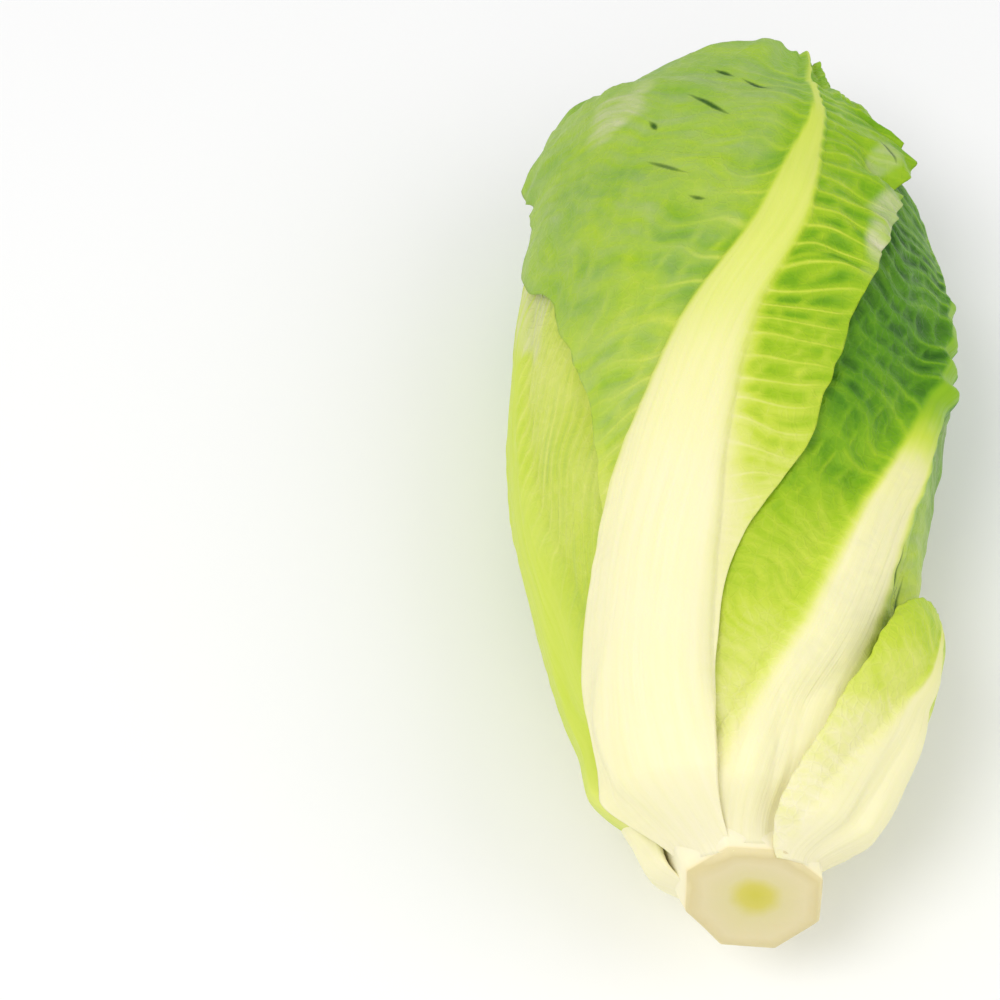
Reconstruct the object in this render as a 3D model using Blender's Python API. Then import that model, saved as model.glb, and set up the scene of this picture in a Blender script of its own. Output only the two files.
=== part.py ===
"""A romaine lettuce head lying on its side, as solids in metres, +Z up.

The stem's cut face looks towards -Y and the leaf tips point to +Y. Every leaf is its own solid.
A leaf is drawn on the head in three numbers: its azimuth round the head (0 is the top, 90 degrees
the right side), its place along the head from the cut, and its reach out from the head's axis.
The leaves are laid from the heart outwards. Each one rests on those beneath it with a small gap.
"""

import math

import bmesh
import bpy
import numpy as np

# Driving dimensions of the head
HEAD_LENGTH = 0.285
HALF_WIDTH_KNOTS = [
    (0.0, 0.0183), (0.020, 0.0295), (0.032, 0.0350), (0.045, 0.0420), (0.060, 0.0480),
    (0.082, 0.0535), (0.107, 0.0585), (0.132, 0.0630), (0.156, 0.0662), (0.181, 0.0676),
    (0.200, 0.0656), (0.218, 0.0608), (0.236, 0.0570), (0.256, 0.0490), (0.288, 0.0290),
]
TOP_SHARE = 0.82
BOTTOM_KNOTS = [
    (0.0, 0.0200), (0.014, 0.0270), (0.034, 0.0370), (0.060, 0.0450), (0.095, 0.0500),
    (0.205, 0.0500), (0.235, 0.0450), (0.258, 0.0370), (0.288, 0.0230),
]
AXIS_HEIGHT = 0.0500
AXIS_SIDE_KNOTS = [
    (0.0, 0.0026), (0.020, -0.0018), (0.060, -0.0004), (0.090, -0.0015), (0.110, -0.0028),
    (0.135, -0.0016), (0.181, 0.0024), (0.200, 0.0028), (0.220, 0.0034), (0.252, 0.0016), (0.288, 0.0115),
]
FLAT_DEPTH = 0.0024

# The stem and the heart
STEM_TOP = 0.048
STEM_KNOTS = [(0.0, 0.0183), (0.006, 0.0195), (0.018, 0.0205), (0.034, 0.0180), (STEM_TOP, 0.0145)]
STEM_SIDES = 8
STEM_SEGMENTS = 32
STEM_RINGS = 8
CUT_TILT = math.radians(11)
CUT_DISH = 0.0006
PITH_SHARE = 0.42
HEART_BASE = STEM_TOP + 0.0004
HEART_TIP = 0.215
HEART_KNOTS = [
    (HEART_BASE, 0.0130), (0.070, 0.0190), (0.100, 0.0240), (0.150, 0.0260), (0.190, 0.0210),
    (0.208, 0.0120), (HEART_TIP, 0.0030),
]
HEART_SEGMENTS = 20
HEART_RINGS = 12
HEART_BLADES = 4
HEART_BLADE_REACH = 0.0215
HEART_BLADE_STEP = 0.0042
HEART_WALL = 0.0016

# How the leaves grow and are laid
INNER_COUNT = 11
INNER_SEED = 7
GOLDEN_ANGLE = 137.5
BASE_RISE = 0.048
LEAST_TURN_RADIUS = 0.020
MARGIN_NOTCH = 0.025
GAP_AT_STEM = 0.0008
GAP = 0.0015
TIP_GAP = 0.0014
SETTLE = 0.0015
SPREAD_AZIMUTH = math.radians(8)
SPREAD_ALONG = 0.008
HIGHER_SHARE = 1.3
STEM_SPREAD = 0.4
BLADE = 0.0011
RELIEF = 0.0006
AZIMUTH_CELLS = 180
ALONG_CELLS = 120
FIELD_END = 0.300
SAMPLES = 260

# Outlines: half-width as a share of the widest, against place along the leaf
ROMAINE = [
    (0.0, 0.19), (0.06, 0.25), (0.12, 0.30), (0.30, 0.42), (0.48, 0.62), (0.65, 0.88), (0.80, 1.0),
    (0.92, 0.97), (1.0, 0.88),
]
FRONT_LEFT = [
    (0.0, 0.11), (0.10, 0.165), (0.20, 0.172), (0.30, 0.185), (0.36, 0.205), (0.426, 0.27),
    (0.51, 0.38), (0.574, 0.52), (0.639, 0.70), (0.72, 0.92), (0.807, 1.0), (0.896, 1.0),
    (0.95, 0.95), (1.0, 0.82),
]
FRONT_RIGHT = [
    (0.0, 0.28), (0.066, 0.39), (0.133, 0.46), (0.196, 0.48), (0.270, 0.505), (0.333, 0.615), (0.384, 0.80),
    (0.423, 0.925), (0.467, 0.99), (0.533, 1.0), (0.596, 0.86), (0.655, 0.76), (0.737, 0.78),
    (0.859, 0.77), (0.921, 0.52), (1.0, 0.26),
]
RIGHT_LEFT = [
    (0.0, 0.18), (0.06, 0.36), (0.14, 0.60), (0.30, 0.72), (0.45, 0.76), (0.75, 0.84), (0.90, 0.81),
    (1.0, 0.72),
]
NARROW_WING = [(0.0, 0.22), (0.12, 0.45), (0.30, 0.55), (0.55, 0.70), (0.80, 1.0), (1.0, 0.75)]
CLASPING = [(0.0, 0.18), (0.06, 0.32), (0.14, 0.52), (0.45, 0.74), (0.75, 1.0), (0.90, 0.97), (1.0, 0.86)]
STUB = [(0.0, 0.50), (0.15, 0.78), (0.30, 0.86), (0.60, 1.0), (0.82, 0.96), (1.0, 0.78)]

# How far the stub leaf stands off the head, in metres, against place along the leaf
STUB_FLARE = [(0.0, 0.0), (0.30, 0.0015), (0.50, 0.0045), (0.73, 0.0100), (0.90, 0.0098), (1.0, 0.0070)]

# Rib width and thickness along a leaf, as shares of their base values
RIB_WIDTH = [(0.0, 1.0), (0.25, 0.96), (0.50, 0.68), (0.70, 0.42), (0.88, 0.16), (1.0, 0.06)]
RIB_HEIGHT = [(0.0, 0.10), (0.10, 1.0), (0.35, 0.95), (0.60, 0.62), (0.80, 0.34), (1.0, 0.10)]


def smooth_curve(knots):
    """A smooth curve through (place, value) knots that never overshoots them."""
    place, value = (np.array(column, float) for column in zip(*knots))
    step = np.diff(value) / np.diff(place)
    slope = np.concatenate([step[:1], np.zeros(len(step) - 1), step[-1:]])
    before, after = step[:-1], step[1:]
    rising = before * after > 0
    total = np.where(rising, before + after, 1.0)
    slope[1:-1] = np.where(rising, 2 * before * after / total, 0.0)

    def at(x):
        x = np.clip(x, place[0], place[-1])
        i = np.clip(np.searchsorted(place, x, side="right") - 1, 0, len(place) - 2)
        width = place[i + 1] - place[i]
        t = (x - place[i]) / width
        ends = value[i] * (1 + 2 * t) * (1 - t) ** 2 + value[i + 1] * t * t * (3 - 2 * t)
        return ends + width * (slope[i] * t * (1 - t) ** 2 - slope[i + 1] * t * t * (1 - t))

    return at


half_width = smooth_curve(HALF_WIDTH_KNOTS)
half_bottom = smooth_curve(BOTTOM_KNOTS)
axis_side = smooth_curve(AXIS_SIDE_KNOTS)
stem_radius = smooth_curve(STEM_KNOTS)
heart_radius = smooth_curve(HEART_KNOTS)
rib_width_share = smooth_curve(RIB_WIDTH)
rib_height_share = smooth_curve(RIB_HEIGHT)


def smooth_step(x):
    x = np.clip(x, 0.0, 1.0)
    return x * x * (3 - 2 * x)


def smooth_max(a, b, softness):
    return 0.5 * (a + b + np.sqrt((a - b) ** 2 + softness**2))


def place(azimuth, along, reach):
    """The points at these azimuths, places along the head and reaches from its axis."""
    bottom_share = half_bottom(along) / half_width(along)
    squash = np.where(np.cos(azimuth) > 0, TOP_SHARE, bottom_share)
    x = axis_side(along) + reach * np.sin(azimuth)
    z = AXIS_HEIGHT + reach * np.cos(azimuth) * squash
    return np.stack([x, along, z], axis=-1)


class Leaf:
    """One leaf: where it grows, its outline, its rib and its waves. Lengths in metres."""

    def __init__(
        self, name, line, start, tip, left, right, depth, left_outline=ROMAINE, right_outline=ROMAINE,
        drop_left=0.030, drop_right=0.030, drop_power=2.4, rib_width=0.0165, rib_height=0.0052,
        ruffle=0.0035, waves=6, hug=0.003, flare=((0.0, 0.0), (1.0, 0.0)), columns=8, rows=12,
    ):
        self.name = name
        self.turn = smooth_curve([(along, math.radians(degrees)) for along, degrees in line])
        self.start, self.tip = start, tip
        self.left, self.right = left, right
        self.left_outline = smooth_curve(left_outline)
        self.right_outline = smooth_curve(right_outline)
        self.depth = depth
        self.drop_left, self.drop_right, self.drop_power = drop_left, drop_right, drop_power
        self.rib_width, self.rib_height = rib_width, rib_height
        self.ruffle, self.waves = ruffle, waves
        self.hug, self.flare = hug, smooth_curve(flare)
        self.columns, self.rows = columns, rows

    def middle(self, v):
        return self.start + v * (self.tip - self.start)

    def side_width(self, u, v):
        """Half-width on the side of u, with a margin that goes in and out a little."""
        left = self.left * self.left_outline(v)
        right = self.right * self.right_outline(v)
        notch = 1 + MARGIN_NOTCH * np.sin(2 * math.pi * v * self.waves * 2.3 + 2.0 * np.sign(u))
        return np.where(u < 0, left, right) * notch

    def across(self, u, v):
        """Distance from the rib's middle line, in metres."""
        return np.abs(u) * self.side_width(u, v)

    def spot(self, u, v):
        """Azimuth and place along the head of leaf point (u, v), u from -1 to 1, v from 0 to 1."""
        drop = np.where(u < 0, self.drop_left, self.drop_right) * np.abs(u) ** self.drop_power
        along = self.start + v * (self.tip - drop - self.start)
        reach = np.maximum(half_width(self.middle(v)) - 0.6 * self.depth, LEAST_TURN_RADIUS)
        azimuth = self.turn(self.middle(v)) + u * self.side_width(u, v) / reach
        return azimuth, along

    def natural_reach(self, u, v, along, open_share):
        """How far from the axis the leaf's inner face would lie if nothing were beneath it."""
        base = stem_radius(np.minimum(along, STEM_TOP)) + GAP_AT_STEM
        rise = smooth_step((along - self.start) / BASE_RISE)
        full = np.maximum(half_width(along) - self.depth, 0.4 * half_width(along))
        reach = base + (full - base) * rise
        waves = 0.5 + 0.5 * np.sin(2 * math.pi * v * self.waves + 2.4 * np.sign(u))
        grown = smooth_step((v - 0.25) / 0.35)
        margin = np.abs(u) ** 3 * grown
        wave = (self.ruffle * waves - self.hug) * margin
        return reach + (wave + self.flare(v)) * open_share

    def thickness(self, u, v):
        """Blade thickness, with the rib's round ridge and low ridges along the side veins."""
        half = np.maximum(self.rib_width * rib_width_share(v), 0.0008)
        height = self.rib_height * rib_height_share(v)
        near = np.clip(1 - (self.across(u, v) / half) ** 2, 0, None)
        rib = height * near**0.75
        veins = RELIEF * (0.5 - 0.5 * np.cos(math.pi * self.rows * v)) * smooth_step(v / 0.3)
        return BLADE + rib + veins * (1 - near) * np.clip(1 - np.abs(u) ** 4, 0, 1)


def rising_line(azimuth, twist):
    """The rib's line (place along the head, degrees) of a leaf that turns more and more as it rises."""
    return [(0.0, azimuth), (0.060, azimuth + 0.04 * twist), (0.120, azimuth + 0.17 * twist),
            (0.180, azimuth + 0.42 * twist), (0.230, azimuth + 0.68 * twist),
            (HEAD_LENGTH, azimuth + 0.94 * twist)]


FRONT_LINE = [
    (0.0, -47), (0.012, -46), (0.033, -42), (0.061, -36), (0.087, -28), (0.110, -19),
    (0.133, -12), (0.161, -4), (0.191, 10), (0.219, 19), (0.262, 38), (HEAD_LENGTH, 49),
]
RIGHT_LINE = [
    (0.0, 3), (0.025, 11.5), (0.045, 19.5), (0.068, 33.5), (0.095, 46.5), (0.124, 61),
    (0.142, 68), (0.170, 78), (0.262, 96),
]
UNDER_LINE = [
    (0.0, 166), (0.060, 174), (0.110, 179), (0.160, 182), (0.210, 188), (0.262, 200),
]
LEFT_LINE = [(0.0, -70), (0.030, -76), (0.070, -84), (0.140, -82), (0.250, -62)]
STUB_LINE = [(0.0, 58), (0.030, 66), (0.060, 72), (0.096, 76)]
# Outermost first. These seven are the ones that the eye meets; the others fill the head.
OUTER_LEAVES = [
    Leaf("stub_leaf", STUB_LINE, 0.006, 0.083, 0.028, 0.026, 0.005,
         left_outline=STUB, right_outline=STUB, drop_left=0.007, drop_right=0.007,
         rib_width=0.0150, rib_height=0.0040, ruffle=0.0, hug=0.0,
         flare=STUB_FLARE, columns=8, rows=10),
    Leaf("front_leaf", FRONT_LINE, 0.010, HEAD_LENGTH, 0.093, 0.0372, 0.0060,
         left_outline=FRONT_LEFT, right_outline=FRONT_RIGHT, drop_left=0.030, drop_right=0.018,
         drop_power=1.6, rib_width=0.0175, rib_height=0.0058, ruffle=0.0030, waves=6, hug=0.0,
         columns=14, rows=28),
    Leaf("under_leaf", UNDER_LINE, 0.012, 0.262, 0.062, 0.055, 0.0060,
         rib_width=0.0165, rib_height=0.0056, ruffle=0.0030, columns=10, rows=20),
    Leaf("right_leaf", RIGHT_LINE, 0.012, 0.262, 0.080, 0.052, 0.0085,
         left_outline=RIGHT_LEFT, right_outline=NARROW_WING, drop_left=0.026,
         rib_width=0.0165, rib_height=0.0056, ruffle=0.0050, waves=7, hug=0.0,
         columns=12, rows=24),
    Leaf("left_leaf", LEFT_LINE, 0.012, 0.250, 0.060, 0.080, 0.0085,
         right_outline=CLASPING, ruffle=0.0035, columns=10, rows=20),
    Leaf("back_left_leaf", rising_line(-122, 50), 0.003, 0.254, 0.060, 0.060, 0.0100,
         columns=10, rows=18),
    Leaf("back_right_leaf", rising_line(100, 70), 0.014, 0.256, 0.060, 0.060, 0.0115,
         columns=10, rows=18),
]

def inner_leaves():
    """The leaves under the outer ones, each a golden angle on from the last and a little shorter."""
    draw = np.random.default_rng(INNER_SEED)
    leaves = []
    for i in range(INNER_COUNT):
        share = i / (INNER_COUNT - 1)
        width = 0.058 - 0.022 * share + draw.uniform(-0.002, 0.002)
        leaves.append(
            Leaf(
                f"inner_leaf_{i + 1:02d}",
                rising_line(55 + GOLDEN_ANGLE * i + draw.uniform(-8, 8), 76),
                0.019 + 0.0018 * i,
                0.262 - 0.034 * share + draw.uniform(-0.003, 0.003),
                width,
                width,
                0.0140 + 0.0170 * share,
                rib_width=0.0140 - 0.0050 * share,
                rib_height=0.0044 - 0.0018 * share,
                drop_left=0.019,
                drop_right=0.019,
                ruffle=0.0035,
                waves=5 + i % 3,
                hug=0.002,
                flare=((0.0, 0.0), (0.7, 0.0003), (1.0, 0.003)),
                columns=8,
                rows=14 if i < 6 else 12,
            )
        )
    return leaves


class Field:
    """The reach of everything laid so far, on a grid of azimuth and place along the head."""

    def __init__(self):
        along = np.linspace(0, FIELD_END, ALONG_CELLS)
        stem = np.where(along < HEART_BASE, stem_radius(along), heart_radius(along))
        stem = np.where(along > HEART_TIP, 0.0, stem)
        self.reach = np.repeat(stem[None, :], AZIMUTH_CELLS, axis=0)
        self.envelope = half_width(along)[None, :]
        self.far_share = smooth_step((along - 0.030) / 0.060)[None, :]

    @staticmethod
    def cells(azimuth, along):
        i = azimuth / (2 * math.pi) * AZIMUTH_CELLS
        j = np.clip(along / FIELD_END, 0, 1) * (ALONG_CELLS - 1)
        return i, j

    @classmethod
    def sample(cls, grid, azimuth, along):
        i, j = cls.cells(azimuth, along)
        i0, j0 = np.floor(i).astype(int), np.minimum(np.floor(j).astype(int), ALONG_CELLS - 2)
        a, b = i - i0, j - j0
        i0, i1 = i0 % AZIMUTH_CELLS, (i0 + 1) % AZIMUTH_CELLS
        near = grid[i0, j0] * (1 - a) + grid[i1, j0] * a
        far = grid[i0, j0 + 1] * (1 - a) + grid[i1, j0 + 1] * a
        return near * (1 - b) + far * b

    @classmethod
    def stamp(cls, grid, azimuth, along, value):
        i, j = cls.cells(azimuth, along)
        i, j = np.rint(i).astype(int) % AZIMUTH_CELLS, np.rint(j).astype(int)
        np.maximum.at(grid, (i.ravel(), j.ravel()), value.ravel())


def shifted(grid, i, j):
    """The grid moved by i cells round the head and j cells along it."""
    grid = np.roll(grid, i, axis=0)
    if j > 0:
        return np.concatenate([np.repeat(grid[:, :1], j, axis=1), grid[:, :-j]], axis=1)
    if j < 0:
        return np.concatenate([grid[:, -j:], np.repeat(grid[:, -1:], -j, axis=1)], axis=1)
    return grid


def spread(grid, combine, size=1.0):
    """Each cell combined with those round it, first round the head and then along it."""
    i_reach = round(size * SPREAD_AZIMUTH / (2 * math.pi) * AZIMUTH_CELLS)
    j_reach = round(size * SPREAD_ALONG / FIELD_END * ALONG_CELLS)
    grid = combine([shifted(grid, i, 0) for i in range(-i_reach, i_reach + 1)])
    return combine([shifted(grid, 0, j) for j in range(-j_reach, j_reach + 1)])


def highest(grids):
    return np.max(grids, axis=0)


def mean(grids):
    return np.mean(grids, axis=0)


def dense_points():
    u, v = np.meshgrid(np.linspace(-1, 1, SAMPLES), np.linspace(0, 1, SAMPLES), indexing="ij")
    return u, v


def open_grids(leaves):
    """For each leaf, a grid that is 1 where no leaf further out covers it and 0 where one does."""
    u, v = dense_points()
    covered = np.zeros((AZIMUTH_CELLS, ALONG_CELLS))
    grids = []
    for leaf in leaves:
        grids.append(1 - mean([spread(covered, mean), covered]))
        azimuth, along = leaf.spot(u, v)
        Field.stamp(covered, azimuth, along, np.ones_like(u))
    return grids


class Laid:
    """A leaf with the surface that it rests on, so that its two faces can be asked for anywhere."""

    def __init__(self, leaf, floor, open_grid):
        self.leaf, self.floor, self.open_grid = leaf, floor, open_grid

    def reaches(self, u, v):
        leaf = self.leaf
        azimuth, along = leaf.spot(u, v)
        open_share = Field.sample(self.open_grid, azimuth, along)
        gap = GAP_AT_STEM + (GAP - GAP_AT_STEM) * smooth_step(v / 0.20)
        gap = gap + TIP_GAP * smooth_step((v - 0.75) / 0.25)
        floor = Field.sample(self.floor, azimuth, along) + gap
        natural = leaf.natural_reach(u, v, along, open_share)
        inner = smooth_max(floor, natural, SETTLE)
        return azimuth, along, inner, inner + leaf.thickness(u, v)


def lay_leaves(leaves):
    """Lays the leaves from the heart outwards and returns them as Laid, innermost first."""
    field = Field()
    u, v = dense_points()
    laid = []
    for leaf, open_grid in reversed(list(zip(leaves, open_grids(leaves)))):
        above = field.reach - field.envelope
        near = spread(spread(above, highest, STEM_SPREAD * HIGHER_SHARE), mean, STEM_SPREAD)
        far = spread(spread(above, highest, HIGHER_SHARE), mean)
        floor = field.envelope + near + (far - near) * field.far_share
        laid.append(Laid(leaf, floor, open_grid))
        azimuth, along, _, outer = laid[-1].reaches(u, v)
        Field.stamp(field.reach, azimuth, along, outer)
    return laid


def sheet_mesh(columns, rows, inner_points, outer_points):
    """A grid for a sheet's inner face, extruded outwards to its outer face."""
    bm = bmesh.new()
    bmesh.ops.create_grid(bm, x_segments=columns, y_segments=rows, size=1.0)
    bmesh.ops.triangulate(bm, faces=bm.faces[:], quad_method="FIXED")
    inner = list(bm.verts)
    made = bmesh.ops.extrude_face_region(bm, geom=bm.faces[:])
    outer = [item for item in made["geom"] if isinstance(item, bmesh.types.BMVert)]
    for verts, points in ((inner, inner_points), (outer, outer_points)):
        flat = np.array([vert.co[:2] for vert in verts])
        for vert, co in zip(verts, points(flat)):
            vert.co = co
    return bm


def leaf_mesh(laid):
    """A leaf as a sheet. Its columns crowd towards the rib and its rows towards the tip."""

    def points(flat, face):
        u = np.sign(flat[:, 0]) * np.abs(flat[:, 0]) ** 1.3
        v = 1 - (0.5 - 0.5 * flat[:, 1]) ** 1.12
        azimuth, along, inner, outer = laid.reaches(u, v)
        return place(azimuth, along, (inner, outer)[face])

    leaf = laid.leaf
    return sheet_mesh(leaf.columns, leaf.rows, lambda f: points(f, 0), lambda f: points(f, 1))


def stem_outline(azimuth, share):
    """The stem's reach as a share of its round one: knife-trimmed sides that fade upwards."""
    side = 2 * math.pi / STEM_SIDES
    off = (azimuth + 0.3) % side - side / 2
    trimmed = math.cos(side / 2) / np.cos(off) * 1.045
    return 1 + (trimmed - 1) * (1 - share)


def ring_body(rings):
    """A closed body through rings of points, each ring a step of an extruded circle."""
    bm = bmesh.new()
    made = bmesh.ops.create_circle(bm, cap_ends=True, radius=1.0, segments=len(rings[0]))
    verts = made["verts"]
    for vert, co in zip(verts, rings[0]):
        vert.co = co
    edges = [edge for edge in bm.edges]
    for ring in rings[1:]:
        made = bmesh.ops.extrude_edge_only(bm, edges=edges)["geom"]
        verts = [item for item in made if isinstance(item, bmesh.types.BMVert)]
        edges = [item for item in made if isinstance(item, bmesh.types.BMEdge)]
        for vert, co in zip(verts, ring):
            vert.co = co
    bmesh.ops.edgeloop_fill(bm, edges=edges)
    bmesh.ops.recalc_face_normals(bm, faces=bm.faces[:])
    return bm


def stem_mesh():
    """The stem from its cut face to where the heart begins."""
    azimuth = np.arange(STEM_SEGMENTS) * 2 * math.pi / STEM_SEGMENTS
    rings = []
    slope = math.tan(CUT_TILT)
    for share, dish in ((PITH_SHARE, CUT_DISH), (0.94, 0.0)):
        reach = STEM_KNOTS[0][1] * share * stem_outline(azimuth, 1 - share)
        rings.append(place(azimuth, slope * reach * np.cos(azimuth) + dish, reach))
    for k in range(STEM_RINGS + 1):
        share = k / STEM_RINGS
        along = 0.001 + share * (STEM_TOP - 0.001)
        reach = stem_radius(along) * stem_outline(azimuth, share)
        tilt = slope * reach * np.cos(azimuth) * (1 - share) ** 2
        rings.append(place(azimuth, along + tilt, reach))
    return ring_body(rings)


def heart_core_mesh():
    """The heart's slim core, its sides stepped like leaves wrapped over each other."""
    azimuth = np.arange(HEART_SEGMENTS) * 2 * math.pi / HEART_SEGMENTS
    rings = []
    for k in range(HEART_RINGS + 1):
        along = HEART_BASE + (HEART_TIP - HEART_BASE) * k / HEART_RINGS
        wrap = 0.03 * np.sin(3 * azimuth - 30 * along)
        rings.append(place(azimuth, np.full_like(azimuth, along), heart_radius(along) * (0.93 + wrap)))
    return ring_body(rings)


def heart_blade_mesh(order):
    """A short leaf of the heart. Its lower end is sunk in the core and its upper end stands out."""
    base = HEART_BLADE_REACH - HEART_BLADE_STEP * order
    start = 0.128 + 0.011 * order
    tip = 0.216 + 0.003 * order
    half_angle = min(0.85 + 0.10 * order, 1.3)

    def points(flat, lift):
        u, v = flat[:, 0], 0.5 + 0.5 * flat[:, 1]
        along = start + v * (tip - 0.010 * np.abs(u) ** 2.2 - start)
        turn = math.radians(20 + GOLDEN_ANGLE * order) + 0.7 * v
        wave = 0.0009 * np.sin(2 * math.pi * 3 * v + order) * np.abs(u) ** 2 * smooth_step(v)
        reach = base * (1 - 0.25 * smooth_step((v - 0.5) / 0.5)) + wave + lift
        return place(turn + u * half_angle * (0.6 + 0.4 * v), along, reach)

    return sheet_mesh(6, 10, lambda flat: points(flat, 0.0), lambda flat: points(flat, HEART_WALL))


def material(name, colour, roughness):
    made = bpy.data.materials.new(name)
    made.use_nodes = True
    shader = made.node_tree.nodes["Principled BSDF"]
    shader.inputs["Base Color"].default_value = (*colour, 1.0)
    shader.inputs["Roughness"].default_value = roughness
    shader.inputs["Metallic"].default_value = 0.0
    return made


def add_object(name, bm, finish):
    mesh = bpy.data.meshes.new(name)
    bm.to_mesh(mesh)
    bm.free()
    mesh.shade_smooth()
    mesh.set_sharp_from_angle(angle=math.radians(50))
    mesh.materials.append(finish)
    obj = bpy.data.objects.new(name, mesh)
    bpy.context.scene.collection.objects.link(obj)
    return obj


def build_heart(finish):
    """The core and its leaves joined into one solid by one Boolean union."""
    core = add_object("heart", heart_core_mesh(), finish)
    blades = bpy.data.collections.new("heart_blades")
    for order in range(HEART_BLADES):
        blade = add_object(f"heart_blade_{order + 1}", heart_blade_mesh(order), finish)
        bpy.context.scene.collection.objects.unlink(blade)
        blades.objects.link(blade)
    union = core.modifiers.new("join_blades", "BOOLEAN")
    union.operation = "UNION"
    union.operand_type = "COLLECTION"
    union.collection = blades
    union.solver = "EXACT"
    bpy.context.view_layer.update()
    graph = bpy.context.evaluated_depsgraph_get()
    joined = bpy.data.meshes.new_from_object(core.evaluated_get(graph))
    core.modifiers.clear()
    core.data = joined
    for blade in list(blades.objects):
        bpy.data.objects.remove(blade)
    bpy.data.collections.remove(blades)
    return core


def rest_on_floor(objects, lowest):
    """Sets the head on Z = 0 on a flat spot of its lowest leaf, its box's middle over the origin."""
    points = {obj: np.array([vert.co for vert in obj.data.vertices]) for obj in objects}
    low = np.min([found.min(axis=0) for found in points.values()], axis=0)
    high = np.max([found.max(axis=0) for found in points.values()], axis=0)
    middle = (low + high) / 2
    floor = points[lowest][:, 2].min() + FLAT_DEPTH
    for obj, found in points.items():
        found -= (middle[0], middle[1], floor)
        if obj is lowest:
            found[:, 2] = np.maximum(found[:, 2], 0.0)
        obj.data.vertices.foreach_set("co", found.astype(np.float32).ravel())
        obj.data.update()


def main():
    for obj in list(bpy.data.objects):
        bpy.data.objects.remove(obj)
    outer_green = material("outer_green", (0.33, 0.55, 0.08), 0.42)
    inner_green = material("inner_green", (0.55, 0.70, 0.18), 0.45)
    cream = material("stem_cream", (0.87, 0.80, 0.52), 0.50)
    inside = inner_leaves()
    objects = {"stem": add_object("stem", stem_mesh(), cream), "heart": build_heart(inner_green)}
    for laid in lay_leaves(OUTER_LEAVES + inside):
        finish = inner_green if laid.leaf in inside else outer_green
        objects[laid.leaf.name] = add_object(laid.leaf.name, leaf_mesh(laid), finish)
    rest_on_floor(objects.values(), objects["under_leaf"])


main()
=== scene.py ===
"""The looks of a romaine lettuce head that lies on its side, in the frame of its CAD solids.

The leaves are laid over each other as in the CAD part, then get finer outlines, veins and blisters.
A leaf point is (u, v): u runs from -1 at the left margin to 1 at the right, v from base to tip.
"""

import math

import bmesh
import bpy
import numpy as np
from mathutils import Matrix, Vector


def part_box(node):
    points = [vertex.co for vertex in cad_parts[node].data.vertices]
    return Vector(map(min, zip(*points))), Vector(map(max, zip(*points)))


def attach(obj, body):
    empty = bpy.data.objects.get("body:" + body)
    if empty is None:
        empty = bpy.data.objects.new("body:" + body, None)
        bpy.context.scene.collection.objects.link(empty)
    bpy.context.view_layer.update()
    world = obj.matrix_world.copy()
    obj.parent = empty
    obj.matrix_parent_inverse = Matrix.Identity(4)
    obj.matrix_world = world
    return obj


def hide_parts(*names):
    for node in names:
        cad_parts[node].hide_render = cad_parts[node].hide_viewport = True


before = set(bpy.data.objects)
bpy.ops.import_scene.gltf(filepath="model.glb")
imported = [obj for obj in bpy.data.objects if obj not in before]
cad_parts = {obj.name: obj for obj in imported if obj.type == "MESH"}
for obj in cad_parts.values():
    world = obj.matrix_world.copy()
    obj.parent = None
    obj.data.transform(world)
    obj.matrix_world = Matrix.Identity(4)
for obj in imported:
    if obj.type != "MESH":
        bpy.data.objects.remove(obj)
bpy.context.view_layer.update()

# The head's form, in metres and degrees
HEAD_LENGTH = 0.285
HALF_WIDTH_KNOTS = [
    (0.0, 0.0183), (0.020, 0.0295), (0.032, 0.0350), (0.045, 0.0420), (0.060, 0.0480),
    (0.082, 0.0535), (0.107, 0.0585), (0.132, 0.0630), (0.156, 0.0662), (0.181, 0.0676),
    (0.200, 0.0656), (0.218, 0.0608), (0.236, 0.0570), (0.256, 0.0490), (0.288, 0.0290),
]
TOP_SHARE = 0.82
BOTTOM_KNOTS = [
    (0.0, 0.0200), (0.014, 0.0270), (0.034, 0.0370), (0.060, 0.0450), (0.095, 0.0500),
    (0.205, 0.0500), (0.235, 0.0450), (0.258, 0.0370), (0.288, 0.0230),
]
AXIS_HEIGHT = 0.0500
AXIS_SIDE_KNOTS = [
    (0.0, 0.0026), (0.020, -0.0018), (0.060, -0.0004), (0.090, -0.0015), (0.110, -0.0028),
    (0.135, -0.0016), (0.181, 0.0024), (0.200, 0.0028), (0.220, 0.0034), (0.252, 0.0016), (0.288, 0.0115),
]
STEM_TOP = 0.048
STEM_KNOTS = [(0.0, 0.0183), (0.006, 0.0195), (0.018, 0.0205), (0.034, 0.0180), (STEM_TOP, 0.0145)]
STEM_SIDES = 8
CUT_DISH = 0.0006
RIM_ROUND = 0.0005
# How far the stem's cut face leans, in the solids and as it shows
CUT_TILT = math.radians(11)
FACE_TILT = math.radians(20)
STEM_SEGMENTS = 160
FACE_RINGS = 15
SIDE_RINGS = 30
HEART_BASE = STEM_TOP + 0.0004
HEART_TIP = 0.215
HEART_BLADES = 7
HEART_BLADE = 0.0006
HEART_KNOTS = [
    (HEART_BASE, 0.0130), (0.070, 0.0190), (0.100, 0.0240), (0.150, 0.0260), (0.190, 0.0210),
    (0.208, 0.0120), (HEART_TIP, 0.0030),
]

# Colour attributes hold lengths in millimetres
MILLIMETRES = 1000

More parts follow.
